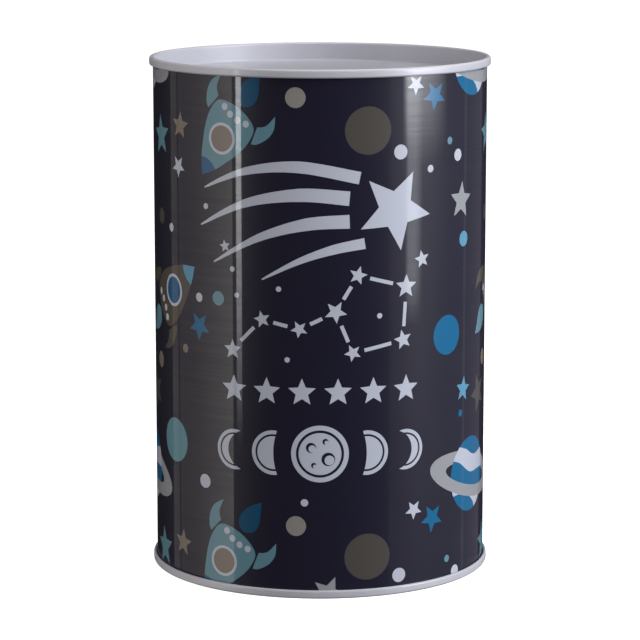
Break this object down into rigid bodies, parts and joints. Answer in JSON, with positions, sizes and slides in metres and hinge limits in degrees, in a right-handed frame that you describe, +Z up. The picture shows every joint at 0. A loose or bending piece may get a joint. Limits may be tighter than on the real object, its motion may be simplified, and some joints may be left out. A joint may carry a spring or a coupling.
{
  "type": "tin money box",
  "caption": "Cylindrical tinplate money box with double-seamed recessed ends, a coin slot in the top and a pull-out stopper in the base.",
  "frame": {"origin": "on the tin's axis, level with the foot of the bottom seam", "axes": "+Z up along the tin's axis; the long side of the coin slot runs along X; the body's lock seam is at the back, at +Y"},
  "size_m": [0.1022, 0.1022, 0.154],
  "materials": {
    "printed_tinplate": "gloss printed ink and varnish over tinplate",
    "bare_tinplate": "satin tinplate with a clear lacquer",
    "stopper_plastic": "soft matte polyethylene"
  },
  "bodies": {
    "tin": {"body_shell": "printed_tinplate", "top_end": "bare_tinplate", "bottom_end": "bare_tinplate"},
    "bung": {"stopper": "stopper_plastic"}
  },
  "joints": [
    {"name": "stopper_pull", "type": "slide", "parent": "tin", "child": "bung", "axis": [0, 0, -1], "range_m": [0, 0.03]}
  ]
}
